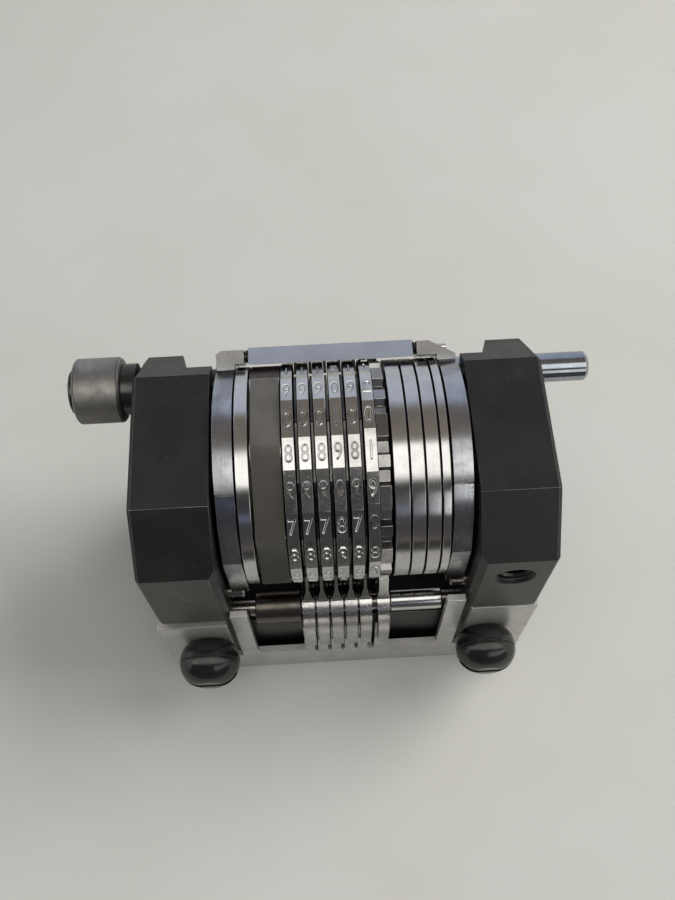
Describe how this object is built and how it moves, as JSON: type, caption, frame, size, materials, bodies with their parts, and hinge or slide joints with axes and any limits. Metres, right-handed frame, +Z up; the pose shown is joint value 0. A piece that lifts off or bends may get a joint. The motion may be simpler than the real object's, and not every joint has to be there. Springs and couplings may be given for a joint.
{
  "type": "numbering head",
  "caption": "Rotary numbering head for a printing press: black side plates, a row of faceted steel number wheels on an axle, a rocker with cam roller and drive pin, spring-comb pawls.",
  "frame": {"origin": "on the base, under the middle of the wheel axle's axis", "axes": "+X along the wheel axle to the drive pin's side, +Y to the rear, +Z up"},
  "size_m": [0.1045, 0.0607, 0.079],
  "materials": {
    "plate_black": "black oxide, matt",
    "bare_steel": "milled, satin",
    "tool_steel": "ground, semi-gloss",
    "worn_steel": "worn, satin",
    "bright_steel": "polished",
    "dark_steel": "blackened, semi-gloss",
    "blank_dark": "phosphated, matt"
  },
  "bodies": {
    "frame": {"left_side_plate": "plate_black", "right_side_plate": "plate_black", "front_cross_block": "plate_black", "rear_tie_bar": "plate_black", "front_tie_screws": "dark_steel", "rear_tie_screws": "dark_steel", "front_comb_plate": "bare_steel", "comb_screw_left": "dark_steel", "comb_screw_right": "dark_steel", "wheel_axle": "tool_steel", "axle_spacer_left": "tool_steel", "axle_spacer_right": "tool_steel", "left_ring": "tool_steel", "blank_carrier": "worn_steel", "blank_segment": "blank_dark", "blank_ring_1": "tool_steel", "blank_ring_2": "tool_steel", "blank_ring_3": "tool_steel", "blank_ring_4": "tool_steel", "detent_shaft": "tool_steel", "detent_sleeve_left": "dark_steel", "detent_sleeve_right": "bright_steel", "stop_pins": "tool_steel"},
    "rocker": {"rocker_arm_left": "tool_steel", "rocker_arm_right": "tool_steel", "pawl_rod": "tool_steel", "rod_washer_left": "dark_steel", "rod_washer_right": "dark_steel", "roller_stud": "dark_steel", "roller_retainer": "dark_steel", "drive_pin": "bright_steel"},
    "cam_roller": {"cam_roller": "worn_steel"},
    "drive_pawl": {"drive_pawl_block": "tool_steel"},
    "wheel_1": {"number_wheel_1": "tool_steel", "ratchet_1": "tool_steel"},
    "wheel_2": {"number_wheel_2": "tool_steel", "ratchet_2": "tool_steel"},
    "wheel_3": {"number_wheel_3": "tool_steel", "ratchet_3": "tool_steel"},
    "wheel_4": {"number_wheel_4": "tool_steel", "ratchet_4": "tool_steel"},
    "wheel_5": {"number_wheel_5": "tool_steel", "ratchet_5": "tool_steel"},
    "wheel_6": {"number_wheel_6": "tool_steel", "unit_ratchet": "tool_steel"},
    "detent_1": {"detent_pawl_1": "bright_steel"},
    "detent_2": {"detent_pawl_2": "bright_steel"},
    "detent_3": {"detent_pawl_3": "bright_steel"},
    "detent_4": {"detent_pawl_4": "bright_steel"},
    "detent_5": {"detent_pawl_5": "bright_steel"},
    "detent_6": {"detent_pawl_6": "bright_steel"}
  },
  "joints": [
    {"name": "rocker_swing", "type": "hinge", "parent": "frame", "child": "rocker", "pos_m": [0, 0, 0.0564], "axis": [-1, 0, 0], "range_deg": [0, 38]},
    {"name": "roller_spin", "type": "hinge", "parent": "rocker", "child": "cam_roller", "pos_m": [0, 0.01517, 0.068], "axis": [1, 0, 0], "continuous": true},
    {"name": "drive_pawl_tilt", "type": "hinge", "parent": "rocker", "child": "drive_pawl", "pos_m": [0, 0.02159, 0.06788], "axis": [1, 0, 0], "range_deg": [0, 4]},
    {"name": "wheel_1_turn", "type": "hinge", "parent": "frame", "child": "wheel_1", "pos_m": [0, 0, 0.0564], "axis": [1, 0, 0], "continuous": true},
    {"name": "wheel_2_turn", "type": "hinge", "parent": "frame", "child": "wheel_2", "pos_m": [0, 0, 0.0564], "axis": [1, 0, 0], "continuous": true},
    {"name": "wheel_3_turn", "type": "hinge", "parent": "frame", "child": "wheel_3", "pos_m": [0, 0, 0.0564], "axis": [1, 0, 0], "continuous": true},
    {"name": "wheel_4_turn", "type": "hinge", "parent": "frame", "child": "wheel_4", "pos_m": [0, 0, 0.0564], "axis": [1, 0, 0], "continuous": true},
    {"name": "wheel_5_turn", "type": "hinge", "parent": "frame", "child": "wheel_5", "pos_m": [0, 0, 0.0564], "axis": [1, 0, 0], "continuous": true},
    {"name": "wheel_6_turn", "type": "hinge", "parent": "frame", "child": "wheel_6", "pos_m": [0, 0, 0.0564], "axis": [1, 0, 0], "continuous": true},
    {"name": "detent_1_lift", "type": "hinge", "parent": "frame", "child": "detent_1", "pos_m": [0, -0.0211, 0.033], "axis": [1, 0, 0], "range_deg": [0, 4]},
    {"name": "detent_2_lift", "type": "hinge", "parent": "frame", "child": "detent_2", "pos_m": [0, -0.0211, 0.033], "axis": [1, 0, 0], "range_deg": [0, 4]},
    {"name": "detent_3_lift", "type": "hinge", "parent": "frame", "child": "detent_3", "pos_m": [0, -0.0211, 0.033], "axis": [1, 0, 0], "range_deg": [0, 4]},
    {"name": "detent_4_lift", "type": "hinge", "parent": "frame", "child": "detent_4", "pos_m": [0, -0.0211, 0.033], "axis": [1, 0, 0], "range_deg": [0, 4]},
    {"name": "detent_5_lift", "type": "hinge", "parent": "frame", "child": "detent_5", "pos_m": [0, -0.0211, 0.033], "axis": [1, 0, 0], "range_deg": [0, 4]},
    {"name": "detent_6_lift", "type": "hinge", "parent": "frame", "child": "detent_6", "pos_m": [0, -0.0211, 0.033], "axis": [1, 0, 0], "range_deg": [0, 4]}
  ]
}
